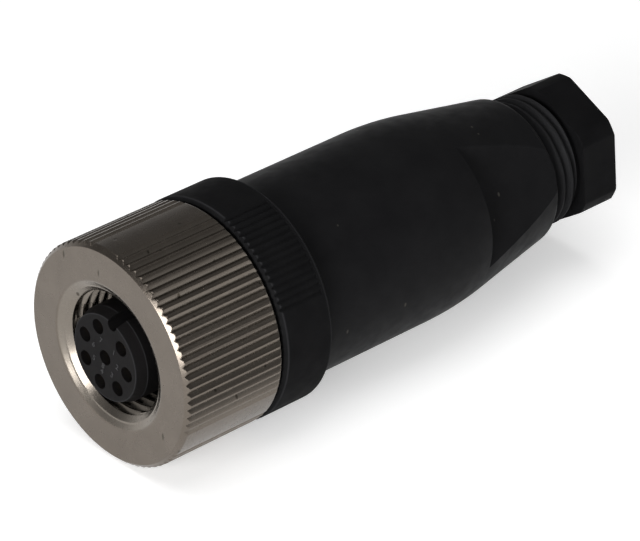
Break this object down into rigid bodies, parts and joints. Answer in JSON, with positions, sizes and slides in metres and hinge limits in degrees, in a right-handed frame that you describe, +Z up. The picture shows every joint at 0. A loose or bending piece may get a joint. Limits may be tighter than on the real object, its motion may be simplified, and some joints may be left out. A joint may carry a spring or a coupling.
{
  "type": "m12 cable connector",
  "caption": "Straight round female cable connector: knurled metal coupling nut, black tapered back shell with a gland nut, and a keyed socket face.",
  "frame": {"origin": "centre of the mating face, on the connector's axis", "axes": "+X along the axis from the mating face to the cable end, +Z up as it lies on its nut and collar"},
  "size_m": [0.0535, 0.02, 0.02],
  "materials": {
    "nickel_plate": "satin nickel plate on brass",
    "spring_steel": "bright",
    "contact_brass": "gold flash",
    "seal_rubber": "matt rubber",
    "black_nylon": "matt moulded nylon",
    "insert_plastic": "satin moulded insulator",
    "shell_nylon": "satin moulded nylon",
    "gland_nylon": "satin moulded nylon"
  },
  "bodies": {
    "connector_body": {"grip_collar": "black_nylon", "nut_snap_ring": "spring_steel", "face_seal": "seal_rubber", "contact_carrier": "insert_plastic", "terminal_block": "insert_plastic", "terminal_screws": "spring_steel", "joint_seal": "seal_rubber", "back_shell": "shell_nylon", "cable_seal": "seal_rubber", "contact_1": "contact_brass", "contact_2": "contact_brass", "contact_3": "contact_brass", "contact_4": "contact_brass", "contact_5": "contact_brass", "contact_6": "contact_brass", "contact_7": "contact_brass", "contact_8": "contact_brass"},
    "nut": {"coupling_nut": "nickel_plate"},
    "clamp": {"clamp_ring": "gland_nylon"},
    "gland": {"gland_nut": "gland_nylon"}
  },
  "joints": [
    {"name": "nut_spin", "type": "hinge", "parent": "connector_body", "child": "nut", "pos_m": [0.0055, 0, 0], "axis": [1, 0, 0], "continuous": true},
    {"name": "clamp_travel", "type": "slide", "parent": "connector_body", "child": "clamp", "axis": [1, 0, 0], "range_m": [-0.0015, 0.003]},
    {"name": "gland_turn", "type": "hinge", "parent": "clamp", "child": "gland", "pos_m": [0.0475, 0, 0], "axis": [1, 0, 0], "range_deg": [-540, 1080]}
  ],
  "couplings": [
    {"joint": "gland_turn", "follows": "clamp_travel", "rad_per_m": 6283.2}
  ]
}
